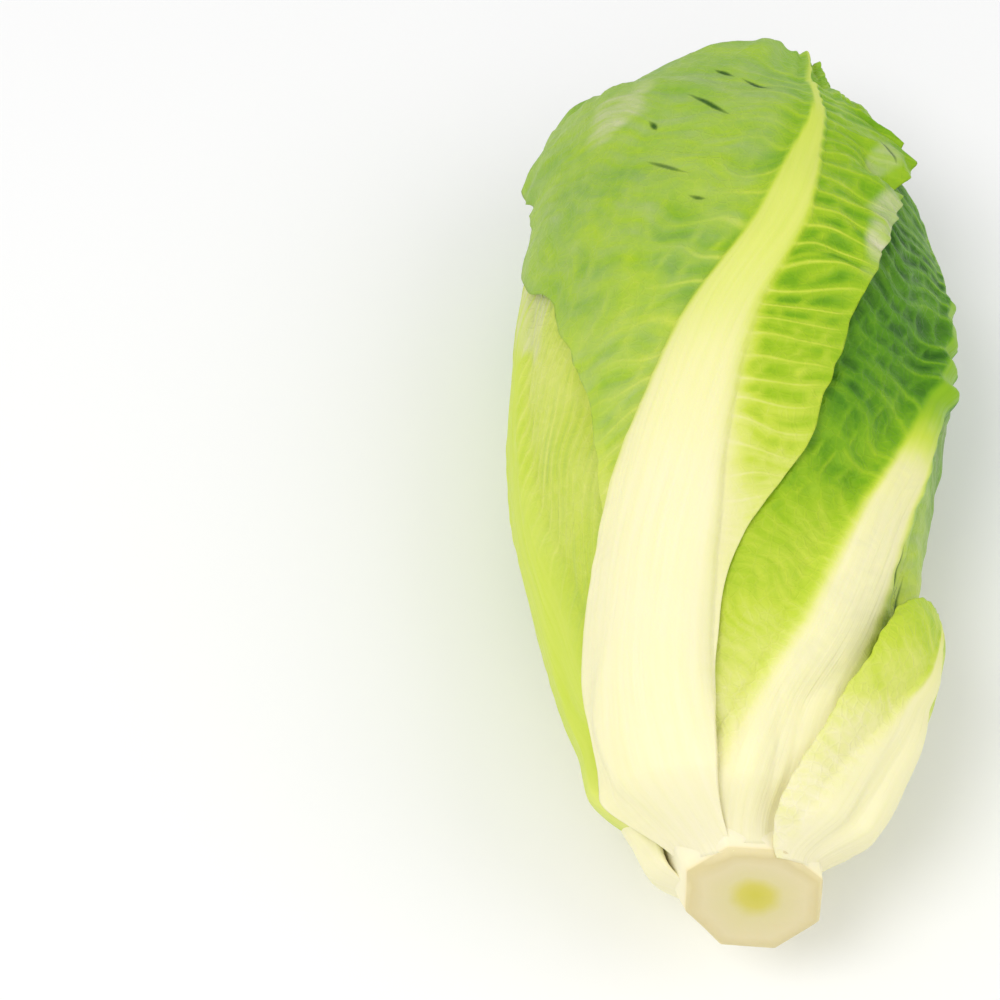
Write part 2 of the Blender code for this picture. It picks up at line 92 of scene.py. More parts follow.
# How the leaves grow and are laid
INNER_COUNT = 11
INNER_SEED = 7
GOLDEN_ANGLE = 137.5
BASE_RISE = 0.048
LEAST_TURN_RADIUS = 0.020
MARGIN_NOTCH = 0.006
GAP_AT_STEM = 0.0008
GAP = 0.0015
TIP_GAP = 0.0014
SETTLE = 0.0015
SPREAD_AZIMUTH = math.radians(8)
SPREAD_ALONG = 0.008
HIGHER_SHARE = 1.3
STEM_SPREAD = 0.4
BLADE = 0.0011
AZIMUTH_CELLS = 180
ALONG_CELLS = 120
FIELD_END = 0.300
SAMPLES = 260
NOISE_CELLS = 97

# Outlines: half-width as a share of the widest, against place along the leaf
ROMAINE = [
    (0.0, 0.19), (0.06, 0.25), (0.12, 0.30), (0.30, 0.42), (0.48, 0.62), (0.65, 0.88), (0.80, 1.0),
    (0.92, 0.97), (1.0, 0.88),
]
FRONT_LEFT = [
    (0.0, 0.11), (0.10, 0.200), (0.20, 0.225), (0.30, 0.238), (0.36, 0.245), (0.426, 0.28),
    (0.51, 0.38), (0.574, 0.52), (0.639, 0.70), (0.72, 0.92), (0.807, 1.0), (0.896, 1.0),
    (0.95, 0.90), (1.0, 0.64),
]
FRONT_RIGHT = [
    (0.0, 0.28), (0.066, 0.39), (0.133, 0.46), (0.196, 0.48), (0.270, 0.505), (0.333, 0.615), (0.384, 0.80),
    (0.423, 0.925), (0.467, 0.99), (0.533, 1.0), (0.596, 0.86), (0.655, 0.76), (0.737, 0.78),
    (0.859, 0.77), (0.921, 0.52), (1.0, 0.26),
]
RIGHT_LEFT = [
    (0.0, 0.18), (0.06, 0.36), (0.14, 0.60), (0.30, 0.72), (0.45, 0.76), (0.75, 0.84), (0.90, 0.81),
    (1.0, 0.72),
]
NARROW_WING = [(0.0, 0.22), (0.12, 0.45), (0.30, 0.55), (0.55, 0.70), (0.80, 1.0), (1.0, 0.75)]
UNDER_RIGHT = [
    (0.0, 0.19), (0.06, 0.25), (0.12, 0.30), (0.30, 0.42), (0.48, 0.62), (0.65, 0.84), (0.80, 0.88),
    (0.92, 0.74), (1.0, 0.55),
]
CLASPING = [(0.0, 0.18), (0.06, 0.32), (0.14, 0.52), (0.45, 0.74), (0.75, 1.0), (0.90, 0.97), (1.0, 0.86)]
STUB = [(0.0, 0.50), (0.15, 0.78), (0.30, 0.86), (0.60, 1.0), (0.82, 0.96), (1.0, 0.78)]

# How far the stub leaf and the inner leaves stand off the head, in metres, along the leaf
STUB_FLARE = [(0.0, 0.0), (0.30, 0.0015), (0.50, 0.0045), (0.73, 0.0100), (0.90, 0.0098), (1.0, 0.0070)]
INNER_FLARE = [(0.0, 0.0), (0.7, 0.0003), (1.0, 0.003)]

# Rib width and thickness along a leaf, as shares of their base values
RIB_WIDTH = [(0.0, 1.0), (0.25, 0.96), (0.50, 0.68), (0.70, 0.42), (0.88, 0.16), (1.0, 0.06)]
RIB_HEIGHT = [(0.0, 0.10), (0.10, 1.0), (0.35, 0.95), (0.60, 0.62), (0.80, 0.34), (1.0, 0.10)]

# The view, in metres and radians, with the lens and its sensor in millimetres
CAMERA_SIDE = -0.0681
CAMERA_AHEAD = -0.0147
CAMERA_HEIGHT = 0.050
CAMERA_DISTANCE = 0.8
CAMERA_ELEVATION = math.radians(58)
CAMERA_LENS = 100
SENSOR_WIDTH = 36

# The floor and the lights, in metres and watts
FLOOR_HALF = 3.0
FLOOR_TONE = 0.96
FLOOR_ROUGHNESS = 0.9
WORLD_LIGHT = 0.70
LIT_POINT = (0, 0, 0.05)
KEY_PLACE = (-0.7, -0.5, 1.5)
KEY_SIZE = 0.8
KEY_POWER = 9.0
FILL_PLACE = (0.9, -0.2, 1.1)
FILL_SIZE = 1.0
FILL_POWER = 3.0

# The finer blade: thickness, its foot on the stem, its tucked margins, small bites and creases
THIN_BLADE = 0.0007
EDGE_BLADE = 0.0004
BLADE_LIFT = 0.0003
BASE_SINK = 0.0022
FOOT_BLADE = 0.0006
TUCK_GAP = 0.0004
TUCK_SPREAD = 0.3
TUCK_WIDTH = 0.008
TUCK_WIDENS = 0.10
LOBE = 0.028
TOOTH = 0.014
TIP_LOBE = 0.0035
CREASE_HALF = 0.0013
CREASE_DEPTH = 0.0010
FAR_OFF = 0.05
CELL_SHIFT = 0.37
FLOOR_GAP = 0.0002
BUMP_DEPTH = 0.0010

# Sizes of the colour patterns, in repeats to the metre
MOTTLE_SCALE = 42.0
GRAIN_SCALE = 330.0
NET_SCALE = 330.0
FLESH_GRAIN_SCALE = 180.0
FLESH_BLOTCH_SCALE = 55.0


def smooth_curve(knots):
    """A smooth curve through (place, value) knots that never overshoots them."""
    place, value = (np.array(column, float) for column in zip(*knots))
    step = np.diff(value) / np.diff(place)
    slope = np.concatenate([step[:1], np.zeros(len(step) - 1), step[-1:]])
    before, after = step[:-1], step[1:]
    rising = before * after > 0
    total = np.where(rising, before + after, 1.0)
    slope[1:-1] = np.where(rising, 2 * before * after / total, 0.0)

    def at(x):
        x = np.clip(x, place[0], place[-1])
        i = np.clip(np.searchsorted(place, x, side="right") - 1, 0, len(place) - 2)
        width = place[i + 1] - place[i]
        t = (x - place[i]) / width
        ends = value[i] * (1 + 2 * t) * (1 - t) ** 2 + value[i + 1] * t * t * (3 - 2 * t)
        return ends + width * (slope[i] * t * (1 - t) ** 2 - slope[i + 1] * t * t * (1 - t))

    return at


half_width = smooth_curve(HALF_WIDTH_KNOTS)
half_bottom = smooth_curve(BOTTOM_KNOTS)
axis_side = smooth_curve(AXIS_SIDE_KNOTS)
stem_radius = smooth_curve(STEM_KNOTS)
heart_radius = smooth_curve(HEART_KNOTS)
rib_width_share = smooth_curve(RIB_WIDTH)
rib_height_share = smooth_curve(RIB_HEIGHT)


def smooth_step(x):
    x = np.clip(x, 0.0, 1.0)
    return x * x * (3 - 2 * x)


def smooth_max(a, b, softness):
    return 0.5 * (a + b + np.sqrt((a - b) ** 2 + softness**2))


def rough(x, y, seed):
    """Smooth noise from -1 to 1 on a lattice of whole x and y."""
    table = np.random.default_rng(seed).uniform(-1, 1, (NOISE_CELLS, NOISE_CELLS))
    x0, y0 = np.floor(x).astype(int), np.floor(y).astype(int)
    a, b = smooth_step(x - x0), smooth_step(y - y0)
    x0, y0, x1, y1 = x0 % NOISE_CELLS, y0 % NOISE_CELLS, (x0 + 1) % NOISE_CELLS, (y0 + 1) % NOISE_CELLS
    low = table[x0, y0] * (1 - a) + table[x1, y0] * a
    high = table[x0, y1] * (1 - a) + table[x1, y1] * a
    return low * (1 - b) + high * b


def place(azimuth, along, reach):
    """The points at these azimuths, places along the head and reaches from its axis."""
    bottom_share = half_bottom(along) / half_width(along)
    squash = np.where(np.cos(azimuth) > 0, TOP_SHARE, bottom_share)
    x = axis_side(along) + reach * np.sin(azimuth)
    z = AXIS_HEIGHT + reach * np.cos(azimuth) * squash
    return np.stack([x, along, z], axis=-1)


class Leaf:
    """One leaf: where it grows, its outline, its rib and its waves. Lengths in metres."""

    def __init__(
        self, name, line, start, tip, left, right, depth, left_outline=ROMAINE, right_outline=ROMAINE,
        drop_left=0.030, drop_right=0.030, drop_power=2.4, rib_width=0.0165, rib_height=0.0052,
        ruffle=0.0035, waves=6, hug=0.003, flare=((0.0, 0.0), (1.0, 0.0)),
    ):
        self.name = name
        self.turn = smooth_curve([(along, math.radians(degrees)) for along, degrees in line])
        self.start, self.tip = start, tip
        self.left, self.right = left, right
        self.left_outline = smooth_curve(left_outline)
        self.right_outline = smooth_curve(right_outline)
        self.depth = depth
        self.drop_left, self.drop_right, self.drop_power = drop_left, drop_right, drop_power
        self.rib_width, self.rib_height = rib_width, rib_height
        self.ruffle, self.waves = ruffle, waves
        self.hug, self.flare = hug, smooth_curve(flare)

    def middle(self, v):
        return self.start + v * (self.tip - self.start)

    def side_width(self, u, v):
        """Half-width on the side of u, with a margin that goes in and out a little."""
        left = self.left * self.left_outline(v)
        right = self.right * self.right_outline(v)
        notch = 1 + MARGIN_NOTCH * np.sin(2 * math.pi * v * self.waves * 2.3 + 2.0 * np.sign(u))
        return np.where(u < 0, left, right) * notch

    def across(self, u, v):
        """Distance from the rib's middle line, in metres."""
        return np.abs(u) * self.side_width(u, v)

    def spot(self, u, v):
        """Azimuth and place along the head of leaf point (u, v), u from -1 to 1, v from 0 to 1."""
        drop = np.where(u < 0, self.drop_left, self.drop_right) * np.abs(u) ** self.drop_power
        along = self.start + v * (self.tip - drop - self.start)
        reach = np.maximum(half_width(self.middle(v)) - 0.6 * self.depth, LEAST_TURN_RADIUS)
        azimuth = self.turn(self.middle(v)) + u * self.side_width(u, v) / reach
        return azimuth, along

    def natural_reach(self, u, v, along, open_share):
        """How far from the axis the leaf's inner face would lie if nothing were beneath it."""
        base = stem_radius(np.minimum(along, STEM_TOP)) + GAP_AT_STEM
        rise = smooth_step((along - self.start) / BASE_RISE)
        full = np.maximum(half_width(along) - self.depth, 0.4 * half_width(along))
        reach = base + (full - base) * rise
        waves = 0.5 + 0.5 * np.sin(2 * math.pi * v * self.waves + 2.4 * np.sign(u))
        grown = smooth_step((v - 0.25) / 0.35)
        margin = np.abs(u) ** 3 * grown
        wave = (self.ruffle * waves - self.hug) * margin
        return reach + (wave + self.flare(v)) * open_share

    def rib_half(self, v):
        return np.maximum(self.rib_width * rib_width_share(v), 0.0008)

    def rib_thickness(self, u, v, widened=1.0, bluntness=0.75):
        near = np.clip(1 - (self.across(u, v) / (self.rib_half(v) * widened)) ** 2, 0, None)
        return self.rib_height * rib_height_share(v) * near**bluntness


def rising_line(azimuth, twist):
    """The rib's line (place along the head, degrees) of a leaf that turns more and more as it rises."""
    return [(0.0, azimuth), (0.060, azimuth + 0.04 * twist), (0.120, azimuth + 0.17 * twist),
            (0.180, azimuth + 0.42 * twist), (0.230, azimuth + 0.68 * twist),
            (HEAD_LENGTH, azimuth + 0.94 * twist)]


FRONT_LINE = [
    (0.0, -47), (0.012, -46), (0.033, -42), (0.061, -36), (0.087, -28), (0.110, -19),
    (0.133, -12), (0.161, -4), (0.191, 10), (0.219, 19), (0.262, 38), (HEAD_LENGTH, 49),
]
RIGHT_LINE = [
    (0.0, 3), (0.025, 11.5), (0.045, 19.5), (0.068, 33.5), (0.095, 46.5), (0.124, 61),
    (0.142, 68), (0.170, 78), (0.262, 96),
]
UNDER_LINE = [
    (0.0, 166), (0.060, 174), (0.110, 179), (0.160, 182), (0.210, 188), (0.262, 200),
]
LEFT_LINE = [(0.0, -70), (0.030, -76), (0.070, -84), (0.140, -82), (0.250, -62)]
STUB_LINE = [(0.0, 58), (0.030, 66), (0.060, 72), (0.096, 76)]
# Outermost first. These seven are the ones that the eye meets; the others fill the head.
OUTER_LEAVES = [
    Leaf("stub_leaf", STUB_LINE, 0.0085, 0.083, 0.028, 0.026, 0.005,
         left_outline=STUB, right_outline=STUB, drop_left=0.007, drop_right=0.007,
         rib_width=0.0150, rib_height=0.0040, ruffle=0.0, hug=0.0,
         flare=STUB_FLARE),
    Leaf("front_leaf", FRONT_LINE, 0.010, HEAD_LENGTH, 0.093, 0.0372, 0.0060,
         left_outline=FRONT_LEFT, right_outline=FRONT_RIGHT, drop_left=0.030, drop_right=0.018,
         drop_power=1.6, rib_width=0.0175, rib_height=0.0058, ruffle=0.0030, waves=6, hug=0.0),
    Leaf("under_leaf", UNDER_LINE, 0.012, 0.262, 0.062, 0.055, 0.0060,
         right_outline=UNDER_RIGHT, rib_width=0.0165, rib_height=0.0056, ruffle=0.0030),
    Leaf("right_leaf", RIGHT_LINE, 0.012, 0.262, 0.080, 0.052, 0.0085,
         left_outline=RIGHT_LEFT, right_outline=NARROW_WING, drop_left=0.026,
         rib_width=0.0165, rib_height=0.0056, ruffle=0.0050, waves=7, hug=0.0),
    Leaf("left_leaf", LEFT_LINE, 0.012, 0.250, 0.060, 0.080, 0.0085,
         right_outline=CLASPING, ruffle=0.0035),
    Leaf("back_left_leaf", rising_line(-122, 50), 0.0060, 0.254, 0.060, 0.060, 0.0100),
    Leaf("back_right_leaf", rising_line(100, 70), 0.014, 0.256, 0.060, 0.060, 0.0115),
]


def inner_leaves():
    """The leaves under the outer ones, each a golden angle on from the last and a little shorter."""
    draw = np.random.default_rng(INNER_SEED)
    leaves = []
    for i in range(INNER_COUNT):
        share = i / (INNER_COUNT - 1)
        width = 0.058 - 0.022 * share + draw.uniform(-0.002, 0.002)
        line = rising_line(55 + GOLDEN_ANGLE * i + draw.uniform(-8, 8), 76)
        tip = 0.262 - 0.034 * share + draw.uniform(-0.003, 0.003)
        leaves.append(Leaf(
            f"inner_leaf_{i + 1:02d}", line, 0.019 + 0.0018 * i, tip, width, width, 0.0140 + 0.0170 * share,
            drop_left=0.019, drop_right=0.019, rib_width=0.0140 - 0.0050 * share,
            rib_height=0.0044 - 0.0018 * share, waves=5 + i % 3, hug=0.002, flare=INNER_FLARE))
    return leaves


class Field:
    """The reach of everything laid so far, on a grid of azimuth and place along the head."""

    def __init__(self):
        along = np.linspace(0, FIELD_END, ALONG_CELLS)
        stem = np.where(along < HEART_BASE, stem_radius(along), heart_radius(along))
        stem = np.where(along > HEART_TIP, 0.0, stem)
        self.reach = np.repeat(stem[None, :], AZIMUTH_CELLS, axis=0)
        self.envelope = half_width(along)[None, :]
        self.far_share = smooth_step((along - 0.030) / 0.060)[None, :]

    @staticmethod
    def cells(azimuth, along):
        i = azimuth / (2 * math.pi) * AZIMUTH_CELLS
        j = np.clip(along / FIELD_END, 0, 1) * (ALONG_CELLS - 1)
        return i, j

    @classmethod
    def sample(cls, grid, azimuth, along):
        i, j = cls.cells(azimuth, along)
        i0, j0 = np.floor(i).astype(int), np.minimum(np.floor(j).astype(int), ALONG_CELLS - 2)
        a, b = i - i0, j - j0
        i0, i1 = i0 % AZIMUTH_CELLS, (i0 + 1) % AZIMUTH_CELLS
        near = grid[i0, j0] * (1 - a) + grid[i1, j0] * a
        far = grid[i0, j0 + 1] * (1 - a) + grid[i1, j0 + 1] * a
        return near * (1 - b) + far * b

    @classmethod
    def stamp(cls, grid, azimuth, along, value):
        i, j = cls.cells(azimuth, along)
        i, j = np.rint(i).astype(int) % AZIMUTH_CELLS, np.rint(j).astype(int)
        np.maximum.at(grid, (i.ravel(), j.ravel()), value.ravel())


def shifted(grid, i, j):
    """The grid moved by i cells round the head and j cells along it."""
    grid = np.roll(grid, i, axis=0)
    if j > 0:
        return np.concatenate([np.repeat(grid[:, :1], j, axis=1), grid[:, :-j]], axis=1)
    if j < 0:
        return np.concatenate([grid[:, -j:], np.repeat(grid[:, -1:], -j, axis=1)], axis=1)
    return grid


def spread(grid, combine, size=1.0):
    """Each cell combined with those round it, first round the head and then along it."""
    i_reach = round(size * SPREAD_AZIMUTH / (2 * math.pi) * AZIMUTH_CELLS)
    j_reach = round(size * SPREAD_ALONG / FIELD_END * ALONG_CELLS)
    grid = combine([shifted(grid, i, 0) for i in range(-i_reach, i_reach + 1)])
    return combine([shifted(grid, 0, j) for j in range(-j_reach, j_reach + 1)])


def highest(grids):
    return np.max(grids, axis=0)


def mean(grids):
    return np.mean(grids, axis=0)


def dense_points():
    u, v = np.meshgrid(np.linspace(-1, 1, SAMPLES), np.linspace(0, 1, SAMPLES), indexing="ij")
    return u, v


def open_grids(leaves):
    """For each leaf, a grid that is 1 where no leaf further out covers it and 0 where one does."""
    u, v = dense_points()
    covered = np.zeros((AZIMUTH_CELLS, ALONG_CELLS))
    grids = []
    for leaf in leaves:
        grids.append(1 - mean([spread(covered, mean), covered]))
        azimuth, along = leaf.spot(u, v)
        Field.stamp(covered, azimuth, along, np.ones_like(u))
    return grids


class Laid:
    """A leaf with the surface that it rests on, so that its inner face can be asked for anywhere."""

    def __init__(self, leaf, floor, close_floor, open_grid):
        self.leaf, self.floor, self.close_floor, self.open_grid = leaf, floor, close_floor, open_grid

    def rest(self, u, v):
        """Azimuth, place along the head, the inner face's reach, and how open the leaf lies."""
        leaf = self.leaf
        azimuth, along = leaf.spot(u, v)
        open_share = Field.sample(self.open_grid, azimuth, along)
        gap = GAP_AT_STEM + (GAP - GAP_AT_STEM) * smooth_step(v / 0.20)
        gap = gap + TIP_GAP * smooth_step((v - 0.75) / 0.25)
        floor = Field.sample(self.floor, azimuth, along) + gap
        natural = leaf.natural_reach(u, v, along, open_share)
        return azimuth, along, smooth_max(floor, natural, SETTLE), open_share

    def tucked(self, u, v, most):
        """The same, with the margins of the leaf's lower part pressed onto what lies beneath."""
        low = 1 - smooth_step((v - 0.28) / 0.22)
        azimuth, along, inner, open_share = self.rest(u * (1 + TUCK_WIDENS * most * low * np.abs(u)), v)
        close = Field.sample(self.close_floor, azimuth, along) + TUCK_GAP
        from_margin = self.leaf.side_width(u, v) * (1 - np.abs(u))
        share = most * (1 - smooth_step(from_margin / TUCK_WIDTH)) * low
        return azimuth, along, inner + (close - inner) * share, open_share


def lay_leaves(leaves):
    """Lays the leaves from the heart outwards and returns them as Laid, innermost first."""
    field = Field()
    u, v = dense_points()
    laid = []
    for leaf, open_grid in reversed(list(zip(leaves, open_grids(leaves)))):
        above = field.reach - field.envelope
        near = spread(spread(above, highest, STEM_SPREAD * HIGHER_SHARE), mean, STEM_SPREAD)
        far = spread(spread(above, highest, HIGHER_SHARE), mean)
        floor = field.envelope + near + (far - near) * field.far_share
        close_floor = spread(spread(field.reach, highest, TUCK_SPREAD), mean, TUCK_SPREAD)
        laid.append(Laid(leaf, floor, close_floor, open_grid))
        azimuth, along, inner, _ = laid[-1].rest(u, v)
        Field.stamp(field.reach, azimuth, along, inner + BLADE + leaf.rib_thickness(u, v))
    return laid


class Look:
    """What shows on a leaf beyond its form. Pairs are (left, right) of the rib, lengths in metres."""

    def __init__(
        self, cells, seed, greens=((0.0, 0.06), (0.12, 0.26), (0.30, 0.48), (0.60, 0.58), (1.0, 0.62)),
        rib_show=((0.0, 0.85), (1.0, 0.6)), fade=(0.006, 0.006),
        rib_tones=((0.0, 0.02), (0.30, 0.06), (0.60, 0.26), (1.0, 0.44)),
        vein_step=(0.0085, 0.0085), slope=(0.55, 0.55), bend=1.0,
        vein=(0.45, 0.45), vein_reach=(0.030, 0.030), vein_fade=(0.75, 1.2),
        # pocket is the painted shade in the pockets between veins; pocket_depth sinks them.
        pocket=(0.10, 0.10), pocket_depth=(0.0006, 0.0006), pocket_length=0.011, swell=0.0008,
        rib_widened=(1.0, 1.0), rib_blunt=0.0, ruffle=0.0016, lobe=1.0, tuck=(1.0, 1.0), foot=0.007,
        # Bloom lays a painted sheen over the blade off the rib; the dry patches are dried and carry painted
        # sheen too; the creases' dark colour is painted shade.
        bloom=(0.0, 0.0), dry=(), crumples=(), creases=(),
    ):
        self.cells, self.seed = cells, seed
        self.green, self.rib_tone = smooth_curve(greens), smooth_curve(rib_tones)
        self.rib_show, self.fade = smooth_curve(rib_show), fade
        self.vein_step, self.slope, self.vein, self.vein_reach = vein_step, slope, vein, vein_reach
        self.pocket, self.pocket_depth, self.pocket_length = pocket, pocket_depth, pocket_length
        self.rib_widened, self.rib_blunt = rib_widened, rib_blunt
        self.vein_fade, self.bend = vein_fade, bend
        self.swell, self.ruffle, self.lobe, self.tuck, self.foot = swell, ruffle, lobe, tuck, foot
        self.bloom, self.dry, self.crumples, self.creases = bloom, dry, crumples, creases


# Dried patches, which also carry a painted sheen: (across, along, half-length across, half-length along,
# share). Crumpled margins: (side, v from, v to, u from, height). Creases: (across, along) of one end, then
# of the other; their dark colour is painted shade. Bloom is a painted sheen, (left, right). Across is
# signed, to the right of the rib.
LOOKS = {
    "front_leaf": Look(
        (150, 300), 11, rib_show=((0.0, 1.0), (0.55, 0.95), (0.72, 0.80), (0.84, 0.48), (1.0, 0.3)),
        fade=(0.002, 0.010), vein_fade=(0.62, 0.80), tuck=(0.0, 1.0), foot=0.018,
        rib_widened=(1.35, 1.0), rib_blunt=0.42,
        greens=(
            (0.0, 0.03), (0.15, 0.11), (0.28, 0.22), (0.38, 0.33), (0.47, 0.50), (0.60, 0.60), (1.0, 0.69)),
        rib_tones=((0.0, 0.02), (0.30, 0.03), (0.45, 0.10), (0.555, 0.22), (0.80, 0.36), (1.0, 0.44)),
        vein_step=(0.0100, 0.0066), slope=(0.35, 0.42), bend=1.4,
        vein=(0.38, 0.36), vein_reach=(0.020, 0.060),
        pocket=(0.06, 0.13), pocket_depth=(0.0004, 0.0007), pocket_length=0.012, ruffle=0.0014, lobe=0.9,
        bloom=(0.14, 0.0),
        dry=((-0.056, 0.240, 0.013, 0.012, 0.50), (0.027, 0.196, 0.005, 0.022, 0.50),
             (0.022, 0.228, 0.004, 0.010, 0.30)),
        crumples=((1, 0.58, 0.95, 0.35, 0.0044), (-1, 0.80, 1.0, 0.60, 0.0022)),
        creases=((-0.0313, 0.2544, -0.0246, 0.2484), (-0.0232, 0.2484, -0.0123, 0.2397),
                 (-0.0382, 0.2370, -0.0239, 0.2241), (-0.0453, 0.2127, -0.0291, 0.2003),
                 (-0.0293, 0.1925, -0.0230, 0.1893), (-0.0476, 0.2296, -0.0446, 0.2241),
                 (0.0190, 0.2360, 0.0245, 0.2290))),
    "right_leaf": Look(
        (110, 240), 12, rib_show=((0.0, 0.66), (1.0, 0.5)), fade=(0.003, 0.003), foot=0.015,
        greens=(
            (0.0, 0.05), (0.12, 0.20), (0.24, 0.42), (0.36, 0.58), (0.50, 0.78), (0.62, 0.88), (1.0, 0.84)),
        rib_tones=((0.0, 0.03), (0.30, 0.06), (0.43, 0.12), (0.49, 0.42), (0.55, 0.66), (1.0, 0.70)),
        vein_step=(0.0082, 0.0082), vein=(0.22, 0.20), vein_reach=(0.018, 0.012),
        pocket=(0.09, 0.04), pocket_depth=(0.0009, 0.0005), pocket_length=0.009, ruffle=0.0022, lobe=1.5,
        bloom=(0.0, 0.20),
        dry=((0.0, 0.070, 0.009, 0.060, 0.22),),
        crumples=((1, 0.53, 0.76, -0.35, 0.0046), (-1, 0.40, 0.95, 0.60, 0.0014)),
        creases=((0.0100, 0.0900, 0.0150, 0.0700), (0.0165, 0.0840, 0.0210, 0.0620),
                 (0.0120, 0.0560, 0.0170, 0.0420)),
        bend=1.6),
    "left_leaf": Look(
        (90, 200), 13, rib_show=((0.0, 0.55), (1.0, 0.5)), fade=(0.008, 0.008), foot=0.022,
        slope=(1.6, 1.6),
        greens=((0.0, 0.28), (0.10, 0.46), (0.26, 0.50), (0.46, 0.40), (0.70, 0.40), (1.0, 0.48)),
        rib_tones=((0.0, 0.08), (0.14, 0.36), (0.50, 0.38), (1.0, 0.40)),
        vein=(0.18, 0.20), vein_reach=(0.040, 0.040), pocket=(0.02, 0.03), pocket_depth=(0.0003, 0.0003),
        bloom=(0.05, 0.10), dry=((0.012, 0.176, 0.022, 0.024, 0.55),)),
    "stub_leaf": Look(
        (60, 100), 14, rib_show=((0.0, 0.8), (1.0, 0.7)), fade=(0.004, 0.012), tuck=(0.0, 0.0), foot=0.010,
        lobe=0.25,
        greens=((0.0, 0.03), (0.25, 0.08), (0.50, 0.20), (0.68, 0.36), (0.85, 0.46), (1.0, 0.50)),
        rib_tones=((0.0, 0.02), (0.60, 0.08), (0.85, 0.20), (1.0, 0.34)),
        vein=(0.20, 0.20), vein_reach=(0.012, 0.012), pocket=(0.02, 0.02), pocket_depth=(0.0002, 0.0002)),
    "under_leaf": Look((80, 160), 15, pocket=(0.08, 0.08)),
    "back_left_leaf": Look((80, 150), 16),
    "back_right_leaf": Look(
        (80, 150), 17, greens=((0.0, 0.06), (0.12, 0.30), (0.30, 0.56), (0.60, 0.70), (1.0, 0.74))),
}


def inner_look(order):
    """Inner leaves get paler and smoother towards the heart."""
    pale = 0.30 * order / INNER_COUNT
    return Look(
        (56, 110), 30 + order, vein=(0.40, 0.40), pocket=(0.06, 0.06),
        greens=((0.0, 0.05), (0.15, 0.22), (0.50, 0.48 - pale), (0.85, 0.62 - pale), (1.0, 0.66 - pale)))


def by_side(u, pair):
    return np.where(u < 0, pair[0], pair[1])


def lower_part(v):
    """1 in the leaf's lowest 30 %, then down to 0 at 60 % of its length."""
    return 1 - smooth_step((v - 0.30) / 0.30)


def rib_widening(look, u, v):
    """How much wider than its base value the rib is, in the leaf's lower part only."""
    return 1 + (by_side(u, look.rib_widened) - 1) * lower_part(v)


def leaf_place(leaf, u, v):
    """Signed distance across the rib and distance up the leaf, in metres."""
    return np.sign(u) * leaf.across(u, v), v * (leaf.tip - leaf.start)


def vein_phase(leaf, look, u, v):
    """Counts the side veins up the rib, and the cells between two of them outwards from it."""
    across, along = leaf_place(leaf, u, v)
    out = np.abs(across)
    warp = 0.34 * rough(across * 70, along * 70, look.seed)
    warp = look.bend * (warp + 0.85 * rough(across * 24, along * 24, look.seed + 1))
    phase = (along - by_side(u, look.slope) * out - 3.0 * out**2) / by_side(u, look.vein_step) + warp
    cross = out / look.pocket_length + 0.40 * rough(along * 90, across * 90, look.seed + 2)
    return phase, cross


def blade_share(leaf, look, u, v):
    """1 on the open blade, 0 on the rib, at the leaf's foot and at its very margin."""
    off_rib = smooth_step((leaf.across(u, v) / (leaf.rib_half(v) * look.rib_show(v)) - 0.7) / 0.5)
    calm = 1 - 0.7 * smooth_step((np.abs(u) - 0.84) / 0.16)
    return off_rib * smooth_step((v - 0.12) / 0.25) * calm


def nearest_crease(leaf, look, u, v):
    """Signed distance from the nearest crease's line, in metres, and how open it is there."""
    across, along = leaf_place(leaf, u, v)
    nearest, off, open_here = np.full_like(u, FAR_OFF), np.full_like(u, FAR_OFF), np.zeros_like(u)
    for x0, y0, x1, y1 in look.creases:
        run_x, run_y, length = x1 - x0, y1 - y0, math.hypot(x1 - x0, y1 - y0)
        t = ((across - x0) * run_x + (along - y0) * run_y) / length**2
        beside = ((across - x0) * run_y - (along - y0) * run_x) / length
        away = np.hypot(beside, (t - np.clip(t, 0, 1)) * length)
        closer = away < nearest
        nearest = np.where(closer, away, nearest)
        off = np.where(closer, beside, off)
        tapered = np.sin(math.pi * np.clip(t, 0, 1)) * (1 - smooth_step(away / CREASE_HALF - 1.5))
        open_here = np.where(closer, tapered, open_here)
    return off, open_here


def dry_and_sheen_share(leaf, look, u, v):
    """How far the blade turns pale: a painted sheen off the rib, and ragged dried patches with painted
    sheen too.
    """
    across, along = leaf_place(leaf, u, v)
    ragged = 0.35 * rough(across * 150, along * 150, look.seed + 9)
    share = by_side(u, look.bloom) * smooth_step((np.abs(across) - 0.004) / 0.010) * (1 + ragged)
    for x, y, half_x, half_y, most in look.dry:
        off = np.hypot((across - x) / half_x, (along - y) / half_y) + ragged
        share = np.maximum(share, most * (1 - smooth_step((off - 0.45) / 0.65)))
    return share


def crumple(leaf, look, u, v):
    """Height of the sharp folds along crumpled stretches of the margin, in metres."""
    across, along = leaf_place(leaf, u, v)
    folds = 1 - 2 * np.abs(rough(along * 170, across * 60, look.seed + 10))
    folds = 0.6 * folds + 0.6 * rough(along * 85, across * 45, look.seed + 11)
    folds = folds + 0.45 * rough(along * 260, across * 90, look.seed + 14)
    height = np.zeros_like(u)
    for side, v_from, v_to, u_from, most in look.crumples:
        there = smooth_step((v - v_from) / 0.06) * smooth_step((v_to - v) / 0.06)
        out = smooth_step((u * side - u_from) / 0.45)
        height = height + most * there * out * (0.12 + 0.75 * folds)
    return height


